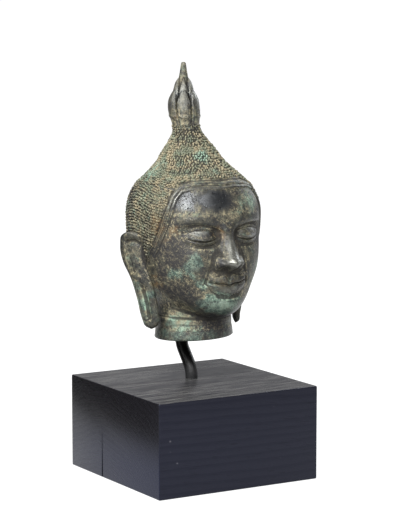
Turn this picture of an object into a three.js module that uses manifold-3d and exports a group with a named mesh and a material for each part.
// A cast bronze head with a flame finial, held over a black wooden plinth by a bent round steel rod.
// Millimetres, +Z up. The origin is the centre of the plinth's underside, and the face looks along -Y.

import * as THREE from "three";
import { mergeVertices } from "three/addons/utils/BufferGeometryUtils.js";
import Module from "manifold-3d";

const wasm = await Module();
wasm.setup();

// Driving dimensions
const PLINTH_WIDTH = 101.6;
const PLINTH_DEPTH = 101.6;
const PLINTH_HEIGHT = 52.9;
const PLINTH_ARRIS = 0.7; // the small flat sanded on every edge
const ROD_DIAMETER = 7;
const ROD_FIT = 0.3; // clearance round the rod and at its ends, in both holes
const ROD_IN_PLINTH = 32;
const ROD_IN_HEAD = 34;
const ROD_RIGHT_OF_CENTRE = 3; // where the rod leaves the plinth's top
const ROD_BEHIND_CENTRE = 6.3;
const ROD_SETBACK = 11.8; // how far back the double bend carries the rod
const ROD_BEND_RADIUS = 12; // of its centre line
const ROD_LEAN = 41; // degrees from upright between the two bends
const ROD_STRAIGHT_FOOT = 0.5; // below the first bend, out of the plinth
const HEAD_CLEARANCE = 26.1; // from the plinth up to the neck's foot
const HEAD_HEIGHT = 152.5; // the neck's foot to the finial's tip
const NECK_CUT_DROP = 1.9; // how far the slanting cut reaches below the neck's foot
const ROD_BEHIND_NECK_AXIS = 14.1;

// How finely the curved faces are cut
const FACE_COLUMNS = 40;
const BACK_COLUMNS = 22; // an even number
const FACE_EDGE = 62; // degrees from the front where the coarser columns begin
const EAR_COLUMNS = 16;
const EAR_ROWS = 18;
const ROD_SIDES = 12;
const ROD_STEPS = 34;

// The head is carved in parts, with CANON of them from the neck to the finial's tip.
const CANON = 152.5;
const PART = HEAD_HEIGHT / CANON;

// Heights in parts. The face is three equal thirds: chin to nose, nose to brow, brow to hair.
const CHIN = 17;
const THIRD = 24.3;
const NOSE_BASE = CHIN + THIRD;
const BROW = CHIN + 2 * THIRD;
const HAIRLINE = CHIN + 3 * THIRD;
const MOUTH_LINE = NOSE_BASE - THIRD / 3;
const EYE_LINE = CHIN + 1.74 * THIRD;
const CONE_FOOT = 85; // where the skull begins to draw in towards the finial
const FINIAL_HEIGHT = 35;
const FINIAL_FOOT = CANON - FINIAL_HEIGHT;

// Widths in parts. The face is five eyes wide.
const EYE_WIDTH = 14.5;
const EYE_OFFSET = EYE_WIDTH;
const HALF_MOUTH = 12.2;

const clamp = (value, low, high) => Math.min(high, Math.max(low, value));
const mix = (from, to, share) => from + (to - from) * share;
const radians = (angle) => (angle * Math.PI) / 180;
const degrees = (angle) => (angle * 180) / Math.PI;
const ease = (from, to, value) => {
  const t = clamp((value - from) / (to - from), 0, 1);
  return t * t * (3 - 2 * t);
};
// Heights on the cone and on the finial, as shares of the way up each
const onCone = (share) => mix(CONE_FOOT, FINIAL_FOOT, share);
const onFinial = (share) => mix(FINIAL_FOOT, CANON, share);
const total = (values) => values.reduce((sum, value) => sum + value, 0);
const hill = (value, centre, spread) => Math.exp(-(((value - centre) / spread) ** 2));
const softMax = (a, b, blend) => {
  const near = Math.max(blend - Math.abs(a - b), 0) / blend;
  return Math.max(a, b) + (near * near * blend) / 4;
};

// A smooth curve through rows of [height, value, value...], one value at a time.
function through(rows, height, column) {
  const z = clamp(height, rows[0][0], rows.at(-1)[0]);
  const above = rows.findIndex((row) => row[0] > z);
  const low = above < 0 ? rows.length - 2 : above - 1;
  const [a, b] = [rows[low], rows[low + 1]];
  const before = rows[Math.max(low - 1, 0)];
  const after = rows[Math.min(low + 2, rows.length - 1)];
  const span = b[0] - a[0];
  const t = (z - a[0]) / span;
  const slopeA = ((b[column] - before[column]) / (b[0] - before[0])) * span;
  const slopeB = ((after[column] - a[column]) / (after[0] - a[0])) * span;
  const t2 = t * t;
  const t3 = t2 * t;
  return (
    (2 * t3 - 3 * t2 + 1) * a[column] +
    (t3 - 2 * t2 + t) * slopeA +
    (3 * t2 - 2 * t3) * b[column] +
    (t3 - t2) * slopeB
  );
}

// Level sections of the head, in parts: height, half width, reach forward and reach back from the
// section's centre, and how far that centre lies behind the neck's axis.
const HEAD_SECTIONS = [
  [9, 2, 4, 2, 0],
  [13, 9, 21, 9, 0],
  [16, 15, 30, 15, 0],
  [20, 20.5, 35.2, 20, 0],
  [25, 25.2, 37, 24.5, 0],
  [31, 29, 37, 28, 0.4],
  [38, 31.8, 37.6, 32, 0.8],
  [46, 33.6, 38.2, 36, 1.4],
  [56, 34.6, 38.8, 39, 2],
  [66, 34.8, 39.4, 40, 2.2],
  [73, 34.5, 38.8, 39.4, 2.2],
  [79, 32.8, 37, 37.5, 2.2],
  [CONE_FOOT, 29.4, 34.4, 33.4, 2.3],
  [onCone(0.092), 26.2, 31.4, 29.5, 2.4],
  [onCone(0.185), 23.4, 28.3, 26.2, 2.5],
  [onCone(0.277), 20.6, 24.5, 22.6, 2.8],
  [onCone(0.369), 18.2, 20.7, 19.6, 3.2],
  [onCone(0.462), 16.3, 17.3, 17.1, 3.9],
  [onCone(0.585), 13.8, 14.2, 14.2, 4.5],
  [onCone(0.708), 10.8, 11, 10.9, 5.4],
  [onCone(0.831), 8.3, 8.3, 8.3, 6.5],
  [onCone(0.923), 7.6, 7.6, 7.6, 7.6],
  [FINIAL_FOOT, 7.7, 7.7, 7.7, 8.5],
];
const [HALF_WIDTH, FRONT, BACK, CENTRE] = [1, 2, 3, 4];
const FACE_SQUARENESS = 0.4; // added to an ellipse's exponent of 2, over the face
const CHIN_HANG = 3.2; // how far the jaw's underside drops towards the chin

// The neck: height and radius. Its foot is cut aslant, lowest on the side that CUT_TOWARDS points to.
const NECK_SECTIONS = [
  [0, 22.3],
  [3, 21.9],
  [9, 21.3],
  [16, 21.4],
  [26, 21.9],
  [36, 19],
  [50, 5],
  [60, 1],
];
const CUT_TOWARDS = { x: -0.857, y: 0.515 };
const THROAT_RINGS = { heights: [6, 11.5], depth: 0.4, spread: 0.8 };

// The hairline, from the forehead's middle past the ear to the nape: degrees from the front, height.
const HAIRLINE_POINTS = [
  [0, HAIRLINE - 1.4],
  [12, HAIRLINE - 0.8],
  [30, HAIRLINE - 1.2],
  [42, HAIRLINE - 3],
  [49, HAIRLINE - 8.6],
  [52.5, 73],
  [58, 63],
  [66, 54],
  [77, 46.5],
  [84, 50],
  [92, 56.5],
  [104, 56],
  [115, 42],
  [128, 31],
  [150, 25.5],
  [180, 24],
];
const HAIR_THICKNESS = 1.05;
const HAIR_RADIUS = 38; // turns degrees round the head into a distance
const BAND_WIDTH = 4.4; // the two raised cords along the hairline
const CORDS = [
  { place: 0.27, rise: 0.8, spread: 0.85 },
  { place: 0.77, rise: 0.7, spread: 0.75 },
];

// How far a place lies inside the hair, negative on the skin.
function hairDepth(turn, z) {
  const around = degrees(Math.abs(turn));
  const scale = radians(HAIR_RADIUS);
  let nearest = Infinity;
  let inside = false;
  for (let i = 0; i + 1 < HAIRLINE_POINTS.length; i++) {
    const [fromAround, fromZ] = HAIRLINE_POINTS[i];
    const [toAround, toZ] = HAIRLINE_POINTS[i + 1];
    const [runAcross, runUp] = [(toAround - fromAround) * scale, toZ - fromZ];
    const [across, up] = [(around - fromAround) * scale, z - fromZ];
    const t = clamp((across * runAcross + up * runUp) / (runAcross ** 2 + runUp ** 2), 0, 1);
    nearest = Math.min(nearest, Math.hypot(across - t * runAcross, up - t * runUp));
    if (around >= fromAround && around <= toAround) inside = up > (runUp * across) / runAcross;
  }
  return inside ? nearest : -nearest;
}

// The raised cords of the band, which end at the ear, and the thickness of the hair behind them.
function hairRelief(turn, z) {
  const depth = hairDepth(turn, z);
  const beforeTheEar = 1 - ease(radians(76), radians(84), Math.abs(turn));
  const outsideTheHair = 1 - ease(0, 1.2, depth);
  const cords = CORDS.map(({ place, rise, spread }) => rise * hill(depth, -place * BAND_WIDTH, spread));
  const thickness = HAIR_THICKNESS * (1 - ease(onCone(0.8), FINIAL_FOOT, z));
  return thickness * ease(-0.5, 0.8, depth) + outsideTheHair * beforeTheEar * total(cords);
}

// Soft mounds and hollows of the face, the same on both sides: how far from the middle and how high each
// is, how far it spreads sideways and upwards, and how far it stands out.
const FACE_MOUNDS = [
  { name: "chin", at: 0, height: CHIN + 6.2, wide: 8.5, tall: 5.2, rise: 2.3 },
  { name: "hollow over the chin", at: 0, height: CHIN + 10.4, wide: 9, tall: 1.9, rise: -1.2 },
  { name: "swell of the mouth", at: 0, height: MOUTH_LINE, wide: 14, tall: 8.5, rise: 1.7 },
  { name: "cheekbone", at: 18.5, height: NOSE_BASE + 4, wide: 9, tall: 9.5, rise: 1.7 },
  { name: "fold beside the mouth", at: 11.5, height: NOSE_BASE - 1, wide: 1.8, tall: 4.6, rise: -0.5 },
  { name: "nose tip", at: 0, height: NOSE_BASE + 4, wide: 4.6, tall: 3.9, rise: 3 },
  { name: "nostril wing", at: 6.6, height: NOSE_BASE + 3.2, wide: 2.3, tall: 2.8, rise: 3.4 },
  { name: "nostril", at: 3.7, height: NOSE_BASE + 0.5, wide: 1.4, tall: 0.9, rise: -1.3 },
  { name: "crease by the nostril", at: 9.2, height: NOSE_BASE + 3.6, wide: 1.1, tall: 2.8, rise: -0.6 },
  { name: "eye socket", at: EYE_OFFSET, height: EYE_LINE + 1.2, wide: 10.5, tall: 5.6, rise: -3.6 },
  { name: "inner eye corner", at: 6.6, height: EYE_LINE + 1.5, wide: 2.4, tall: 4, rise: -1.2 },
  { name: "mouth corner", at: 12.7, height: MOUTH_LINE + 1.4, wide: 1.7, tall: 1.6, rise: -1 },
];

const mound = (beside, z, shape) =>
  shape.rise * hill(beside, shape.at, shape.wide) * hill(z, shape.height, shape.tall);
const faceMounds = (side, z) => total(FACE_MOUNDS.map((shape) => mound(side, z, shape)));

// The ridge of the nose grows and widens from the brow down, and its lower edge arches over each nostril.
function noseRidge(side, z) {
  const top = BROW - 1.5;
  const bottom = NOSE_BASE + 0.6 * hill(side, 3.8, 1.8) - 1.1 * hill(side, 0, 2.2);
  const down = clamp((top - z) / (top - NOSE_BASE - 4), 0, 1);
  const height = mix(2.6, 7.2, down ** 1.2);
  const width = mix(4.4, 6.6, down ** 1.6);
  const span = ease(bottom - 1.8, bottom + 3.4, z) * (1 - ease(BROW - 5, BROW + 4, z));
  return height * Math.exp(-((side / width) ** 2.2)) * span;
}

// A lowered lid over a round eye: the lid's edge, the gap under it, the lower lid and the fold above.
function eyelids(side, z) {
  const across = side - EYE_OFFSET;
  const up = z - EYE_LINE;
  const ball = 4 * Math.max(1 - (across / 10.2) ** 2 - ((up + 0.2) / 6.2) ** 2, 0) ** 1.25;
  const share = Math.max(1 - (across / (0.53 * EYE_WIDTH)) ** 2, 0);
  const slit = -1.3 - 1.5 * share;
  const upperEdge = 0.8 * hill(up, slit + 1.05, 0.8);
  const lowerEdge = 0.6 * hill(up, slit - 1.05, 0.6);
  const gap = 1.1 * hill(up, slit, 0.42);
  const foldHeight = 1.4 + 2.3 * Math.max(1 - (across / 10) ** 2, 0);
  const fold = 0.55 * hill(up, foldHeight, 0.5) * (1 - ease(7.5, 10, Math.abs(across)));
  return ball + (upperEdge + lowerEdge - gap) * share ** 0.6 - fold;
}

// The brow is one arch on each side, crisp below and soft above.
function browRidge(side, z) {
  const arch = Math.sin(clamp((side + 1) / 29, 0, 1) * Math.PI * 0.72);
  const over = z - (BROW - 4.4 + 6 * arch);
  const along = ease(-1, 4, side) * (1 - ease(22, 29, side));
  return 1.3 * hill(over, 0, over > 0 ? 3.8 : 1.2) * along;
}

// Closed lips with a bow above and a fuller lip below, and the groove from the nose.
function lips(side, z) {
  const across = Math.max(1 - (side / HALF_MOUTH) ** 2, 0);
  const line = MOUTH_LINE - 0.2 + 0.011 * side * side - 0.5 * hill(side, 0, 1.6);
  const upperHeight = 3.6 * Math.sqrt(across) + 0.6 * hill(side, 2.9, 1.7) - 0.6 * hill(side, 0, 1.3);
  const lowerHeight = 4.6 * Math.sqrt(across);
  const roll = (distance, height) => Math.sqrt(Math.max(1 - (distance / Math.max(height, 0.1)) ** 2, 0));
  const roundness = z >= line ? 1.35 * roll(z - line, upperHeight) : 1.8 * roll(line - z, lowerHeight);
  const gap = 1.6 * hill(z, line, 0.62) * ease(0, 0.25, across);
  const underTheNose = 1 - ease(NOSE_BASE - 1, NOSE_BASE + 1, z);
  const groove = 0.6 * hill(side, 0, 1.3) * ease(MOUTH_LINE + 3.2, MOUTH_LINE + 4.8, z) * underTheNose;
  return roundness * across ** 0.35 - gap - groove;
}

// The hollow of the ear and the small bead under it, on the side of the head. Here at and wide are
// degrees round from the front.
const EAR_MOUNDS = [
  { name: "hollow", at: 93, height: 48, wide: 8, tall: 7.5, rise: -2.2 },
  { name: "bead under the hollow", at: 75, height: 33, wide: 1.9, tall: 1.1, rise: 1.1 },
];

const earMounds = (turn, z) => total(EAR_MOUNDS.map((shape) => mound(degrees(Math.abs(turn)), z, shape)));

// The finial is a bud of two tiers of pointed petals round a spike: height and radius of each. The
// inner petals rise behind the outer ones, and the first of each tier is turned half a step.
const PETALS = 6;
const PETAL_SHIFT = Math.PI / PETALS;
const FINIAL_LEAN = 3.7; // how far back the bud bends over its foot
const OUTER_TIER = {
  tip: onFinial(0.574),
  sections: [
    [FINIAL_FOOT, 7.7],
    [onFinial(0.057), 8],
    [onFinial(0.129), 8.8],
    [onFinial(0.229), 9.3],
    [onFinial(0.329), 9.2],
    [onFinial(0.414), 8.6],
    [onFinial(0.486), 7.4],
    [onFinial(0.574), 5.7],
  ],
};
const INNER_TIER = {
  tip: onFinial(0.74),
  sections: [
    [FINIAL_FOOT, 6.5],
    [onFinial(0.186), 7.6],
    [onFinial(0.357), 7.5],
    [onFinial(0.5), 6.7],
    [onFinial(0.6), 5.9],
    [onFinial(0.671), 5.1],
    [onFinial(0.74), 3.9],
  ],
};
const SPIKE_SECTIONS = [
  [FINIAL_FOOT, 5],
  [onFinial(0.357), 5.1],
  [onFinial(0.586), 3.9],
  [onFinial(0.729), 2.95],
  [onFinial(0.843), 2.2],
  [onFinial(0.929), 1.7],
  [CANON, 1.3],
];
const PETAL_TAPER = 7.5; // the height over which a petal narrows to its tip

// Where a turn falls on a tier's petals: 0 on a petal's middle to 1 between two, and 1 to 0 off its edge.
function onPetal(tier, turn, z) {
  const step = (2 * Math.PI) / PETALS;
  const place = (((turn + PETAL_SHIFT) % step) + 1.5 * step) % step;
  const off = Math.abs(place - step / 2) / (step / 2);
  const reach = Math.sqrt(clamp((tier.tip - z) / PETAL_TAPER, 0, 1));
  const whole = reach > 0.99 ? 0.1 : 0;
  return { off, cover: ease(0, 0.2, reach - off + whole) };
}

function finialRadius(turn, z) {
  const outer = onPetal(OUTER_TIER, turn, z);
  const inner = onPetal(INNER_TIER, turn, z);
  const opened = ease(onFinial(0.057), onFinial(0.157), z);
  const spike = through(SPIKE_SECTIONS, z, 1);
  const inside = through(INNER_TIER.sections, z, 1) - 0.9 * inner.off ** 3;
  const groove = 1.7 * outer.off ** 6 + 0.25 * hill(outer.off, 0.62, 0.12);
  const outside = through(OUTER_TIER.sections, z, 1) - opened * groove;
  const covered = mix(spike, Math.max(inside, spike), inner.cover);
  return mix(covered, Math.max(outside, covered), outer.cover);
}

// How far the neck's foot hangs down at a place, for its cut to slant.
function cutDrop(point, z) {
  const towards = (point.x * CUT_TOWARDS.x + point.y * CUT_TOWARDS.y) / NECK_SECTIONS[0][1];
  return (NECK_CUT_DROP / PART) * (0.5 + 0.5 * towards) * (1 - ease(0, CHIN - 3, z));
}

// The point of the head's surface at a turn from the front (radians, + towards +X) and a height in parts.
function headPoint(turn, z) {
  const [aside, behind] = [Math.sin(turn), -Math.cos(turn)];
  if (z > FINIAL_FOOT) {
    const radius = finialRadius(turn, z);
    const [bent, bentBelow] = [z, FINIAL_FOOT].map((height) => ease(onCone(0.75), onFinial(0.386), height));
    const centre = HEAD_SECTIONS.at(-1)[CENTRE] + FINIAL_LEAN * (bent - bentBelow);
    return new THREE.Vector3(aside * radius, behind * radius + centre, z);
  }
  const halfWidth = through(HEAD_SECTIONS, z, HALF_WIDTH);
  const reach = through(HEAD_SECTIONS, z, behind < 0 ? FRONT : BACK);
  const faceShare = ease(CHIN, NOSE_BASE, z) * (1 - ease(HAIRLINE - 2, HAIRLINE + 8, z));
  const exponent = 2 + (behind < 0 ? FACE_SQUARENESS * faceShare : 0);
  const [acrossShare, alongShare] = [Math.abs(aside) / halfWidth, Math.abs(behind) / reach];
  const skull = (acrossShare ** exponent + alongShare ** exponent) ** (-1 / exponent);
  const rings = THROAT_RINGS.heights.map((height) => hill(z, height, THROAT_RINGS.spread));
  const neck = through(NECK_SECTIONS, z, 1) - THROAT_RINGS.depth * total(rings);
  const radius = softMax(skull, neck, 5) + hairRelief(turn, z) + earMounds(turn, z);
  const point = new THREE.Vector3(aside * radius, behind * radius + through(HEAD_SECTIONS, z, CENTRE), z);
  const faceHeight = ease(CHIN - 5, CHIN + 2, z) * (1 - ease(HAIRLINE - 8, HAIRLINE - 3, z));
  const side = Math.abs(point.x);
  const carving = [faceMounds, noseRidge, eyelids, browRidge, lips].map((carve) => carve(side, z));
  point.y -= ease(6, 24, -point.y) * faceHeight * total(carving);
  const underTheJaw = ease(8, 15, z) * (1 - ease(20, 38, z));
  point.z -= CHIN_HANG * ease(14, 34, -point.y) * underTheJaw + cutDrop(point, z);
  return point;
}

// A closed skin from rings of points, each end closed on the middle of its ring.
function skinOver(rings) {
  const around = rings[0].length;
  const points = rings.flat();
  const middle = (ring) => ring.reduce((sum, p) => sum.add(p), new THREE.Vector3()).divideScalar(ring.length);
  const low = points.push(middle(rings[0])) - 1;
  const high = points.push(middle(rings.at(-1))) - 1;
  const top = (rings.length - 1) * around;
  const faces = [];
  for (let i = 0; i < around; i++) {
    const next = (i + 1) % around;
    for (let row = 0; row < top; row += around) {
      const [a, b] = [row + i, row + next];
      faces.push(a, b, b + around, a, b + around, a + around);
    }
    faces.push(low, next, i, high, top + i, top + next);
  }
  const geometry = new THREE.BufferGeometry();
  geometry.setFromPoints(points);
  geometry.setIndex(faces);
  return geometry;
}

// Steps from one value to another, without the last.
const steps = (from, to, count) => Array.from({ length: count }, (_, i) => mix(from, to, i / count));

function headForm() {
  const edge = radians(FACE_EDGE);
  const turns = [
    ...steps(-edge, edge, FACE_COLUMNS),
    ...steps(edge, Math.PI, BACK_COLUMNS / 2),
    ...steps(-Math.PI, -edge, BACK_COLUMNS / 2),
  ];
  const heights = [
    ...steps(0, CHIN - 6, 3),
    ...steps(CHIN - 6, BROW + 3, 29),
    ...steps(BROW + 3, HAIRLINE - 8, 3),
    ...steps(HAIRLINE - 8, HAIRLINE + 2, 6),
    ...steps(HAIRLINE + 2, FINIAL_FOOT, 6),
    ...steps(FINIAL_FOOT + 0.1, CANON, 12),
    CANON,
  ];
  return skinOver(heights.map((z) => turns.map((turn) => headPoint(turn, z))));
}

// The ear, in parts, low to high: height, half its breadth, half its thickness, and how far its middle
// lies beside and behind the neck's axis.
const EAR_SECTIONS = [
  [4, 0.4, 0.3, 27.7, -0.5],
  [5.6, 3.4, 1.6, 28.1, -0.5],
  [9, 5.1, 2.3, 28, -0.4],
  [14, 5.9, 2.6, 28.7, 0],
  [20, 6.2, 2.6, 29.6, 0.4],
  [27, 6.3, 2.6, 31.3, 1.1],
  [32, 6.7, 2.8, 32.3, 1.8],
  [37, 7.9, 3.1, 33, 2.8],
  [42, 9.4, 3.3, 33.7, 3.6],
  [48, 10.6, 3.4, 33.9, 4.4],
  [53, 10.4, 3.3, 34, 4.9],
  [56.5, 8.6, 2.9, 35, 5.3],
  [58.8, 4.5, 1.9, 36, 5.6],
  [59.6, 0.4, 0.3, 36.2, 5.7],
];
const FAR_EAR_LOWER = 1; // the ear on the +X side hangs a little lower
const EAR_FLARE = 30; // degrees that the back edge stands out from the head
const LOBE_SLOT = { from: 8, to: 31, depth: 1.4 };

// The carving of the ear's outer side: a rim round a shallow hollow, which is deeper under the rim's
// top, a low fold under it and a long slot in the lobe.
function earRelief(across, z) {
  const upper = ease(33, 38, z);
  const bowl = Math.hypot(Math.max(across + 0.2, 0) / 0.86, (z - 45.5) / 11);
  const hollow = 1.5 * (1 - ease(0.5, 1, bowl));
  const crescent = 1.3 * hill(bowl, 0.8, 0.18) * ease(50, 54, z);
  const rim = 1.4 * hill(bowl, 1.1, 0.2) * ease(-0.75, -0.3, across + 0.05 * (z - 46));
  const lowerFold = 0.8 * hill(across, 0.15, 0.6) * hill(z, 36 + 1.5 * across, 1.2);
  const along = ease(LOBE_SLOT.from, LOBE_SLOT.from + 5, z) * (1 - ease(LOBE_SLOT.to - 5, LOBE_SLOT.to, z));
  const slot = LOBE_SLOT.depth * hill(across, -0.08, 0.3) - 0.5 * hill(across, 0.5, 0.25);
  return upper * (rim - hollow - crescent) + lowerFold - along * slot;
}

// One ear as a closed skin; side is -1 for the ear on the -X side and 1 for its mirror.
function earForm(side) {
  const flare = radians(EAR_FLARE);
  const rings = [...steps(0, Math.PI, EAR_ROWS), Math.PI].map((climb) => {
    const z = mix(EAR_SECTIONS[0][0], EAR_SECTIONS.at(-1)[0], (1 - Math.cos(climb)) / 2);
    const [breadth, thickness, beside, behind] = [1, 2, 3, 4].map((value) => through(EAR_SECTIONS, z, value));
    return steps(0, 2 * Math.PI, EAR_COLUMNS).map((turn) => {
      const [across, outer] = [Math.cos(turn), Math.sin(turn)];
      const relief = outer > 0 ? earRelief(across, z) * ease(0, 0.5, outer) : 0;
      const out = thickness * outer + relief * Math.min(1, thickness / 2);
      const back = breadth * across;
      const x = beside + out * Math.cos(flare) + back * Math.sin(flare);
      const y = behind + back * Math.cos(flare) - out * Math.sin(flare);
      return new THREE.Vector3(side * x, y, z - (side > 0 ? FAR_EAR_LOWER : 0));
    });
  });
  // A mirrored skin has to run round the other way to face outwards.
  return skinOver(side > 0 ? rings.map((ring) => ring.toReversed()) : rings);
}

// A three.js geometry as a manifold-3d solid, and back.
function solidOf(geometry) {
  const bare = geometry.clone();
  bare.deleteAttribute("normal");
  bare.deleteAttribute("uv");
  const merged = mergeVertices(bare, 1e-4);
  return new wasm.Manifold(
    new wasm.Mesh({
      numProp: 3,
      vertProperties: merged.attributes.position.array,
      triVerts: new Uint32Array(merged.index.array),
    }),
  );
}

function geometryOf(solid) {
  const { vertProperties, triVerts, numProp, numVert } = solid.getMesh();
  const position = new Float32Array(numVert * 3);
  for (let i = 0; i < numVert; i++) {
    position.set(vertProperties.subarray(i * numProp, i * numProp + 3), i * 3);
  }
  const geometry = new THREE.BufferGeometry();
  geometry.setAttribute("position", new THREE.BufferAttribute(position, 3));
  geometry.setIndex(new THREE.BufferAttribute(new Uint32Array(triVerts), 1));
  return geometry.toNonIndexed();
}

// The rod's centre line: up out of the plinth, back through two equal bends, and up into the head.
class RodLine extends THREE.Curve {
  constructor() {
    super();
    const lean = radians(ROD_LEAN);
    const bendSetback = 2 * ROD_BEND_RADIUS * (1 - Math.cos(lean));
    const slope = (ROD_SETBACK - bendSetback) / Math.sin(lean);
    const rise = 2 * ROD_BEND_RADIUS * Math.sin(lean) + slope * Math.cos(lean);
    const bend = ROD_BEND_RADIUS * lean;
    this.stretches = [
      { length: ROD_IN_PLINTH + ROD_STRAIGHT_FOOT, turn: 0 },
      { length: bend, turn: lean },
      { length: slope, turn: 0 },
      { length: bend, turn: -lean },
      { length: HEAD_CLEARANCE - ROD_STRAIGHT_FOOT - rise + ROD_IN_HEAD, turn: 0 },
    ];
    this.whole = this.stretches.reduce((sum, { length }) => sum + length, 0);
  }

  getPoint(t, target = new THREE.Vector3()) {
    let left = t * this.whole;
    let angle = 0;
    let [y, z] = [0, -ROD_IN_PLINTH];
    for (const { length, turn } of this.stretches) {
      const along = clamp(left, 0, length);
      const turned = (turn * along) / length;
      // A bend's chord, or the stretch itself where it is straight
      const chord = turn ? (2 * length * Math.sin(turned / 2)) / turn : along;
      y += chord * Math.sin(angle + turned / 2);
      z += chord * Math.cos(angle + turned / 2);
      angle += turned;
      left -= length;
      if (left <= 0) break;
    }
    return target.set(0, y, z);
  }
}

function rodGeometry() {
  const section = new THREE.Shape().absarc(0, 0, ROD_DIAMETER / 2, 0, 2 * Math.PI);
  return new THREE.ExtrudeGeometry(section, {
    extrudePath: new RodLine(),
    steps: ROD_STEPS,
    curveSegments: ROD_SIDES / 2, // a full turn has twice as many
    bevelEnabled: false,
  });
}

// The tool that drills a round upright hole from one height to another.
function holeTool(x, y, low, high) {
  const radius = ROD_DIAMETER / 2 + ROD_FIT;
  const tool = new THREE.CylinderGeometry(radius, radius, high - low, 2 * ROD_SIDES);
  tool.rotateX(Math.PI / 2);
  tool.translate(x, y, (low + high) / 2);
  return solidOf(tool);
}

function plinthGeometry() {
  const outline = new THREE.Shape();
  const [right, back] = [PLINTH_WIDTH / 2 - PLINTH_ARRIS, PLINTH_DEPTH / 2 - PLINTH_ARRIS];
  outline.moveTo(-right, -back).lineTo(right, -back).lineTo(right, back).lineTo(-right, back).closePath();
  const block = new THREE.ExtrudeGeometry(outline, {
    depth: PLINTH_HEIGHT - 2 * PLINTH_ARRIS,
    bevelSize: PLINTH_ARRIS,
    bevelThickness: PLINTH_ARRIS,
    bevelSegments: 1,
  });
  block.translate(0, 0, PLINTH_ARRIS);
  const floor = PLINTH_HEIGHT - ROD_IN_PLINTH - ROD_FIT;
  const hole = holeTool(ROD_RIGHT_OF_CENTRE, ROD_BEHIND_CENTRE, floor, PLINTH_HEIGHT + 1);
  return geometryOf(solidOf(block).subtract(hole));
}

function headGeometry() {
  const forms = [headForm(), earForm(-1), earForm(1)];
  const [head, nearEar, farEar] = forms.map((form) => solidOf(form.scale(PART, PART, PART)));
  const cast = head.add(nearEar).add(farEar);
  const hole = holeTool(0, ROD_BEHIND_NECK_AXIS, -NECK_CUT_DROP - 1, ROD_IN_HEAD + ROD_FIT);
  return geometryOf(cast.subtract(hole));
}

const bronze = new THREE.MeshStandardMaterial({ color: 0x5c5f4e, roughness: 0.5, metalness: 0.7 });
const blackSteel = new THREE.MeshStandardMaterial({ color: 0x0b0b0c, roughness: 0.4, metalness: 0.3 });
const blackWood = new THREE.MeshStandardMaterial({ color: 0x17171b, roughness: 0.45, metalness: 0 });

function named(name, geometry, material) {
  const mesh = new THREE.Mesh(geometry, material);
  mesh.name = name;
  return mesh;
}

const work = new THREE.Group();
const plinth = named("wooden_plinth", plinthGeometry(), blackWood);
const rod = named("steel_rod", rodGeometry(), blackSteel);
rod.position.set(ROD_RIGHT_OF_CENTRE, ROD_BEHIND_CENTRE, PLINTH_HEIGHT);
const head = named("bronze_head", headGeometry(), bronze);
head.position.set(
  ROD_RIGHT_OF_CENTRE,
  ROD_BEHIND_CENTRE + ROD_SETBACK - ROD_BEHIND_NECK_AXIS,
  PLINTH_HEIGHT + HEAD_CLEARANCE,
);
work.add(plinth, rod, head);

export default work;
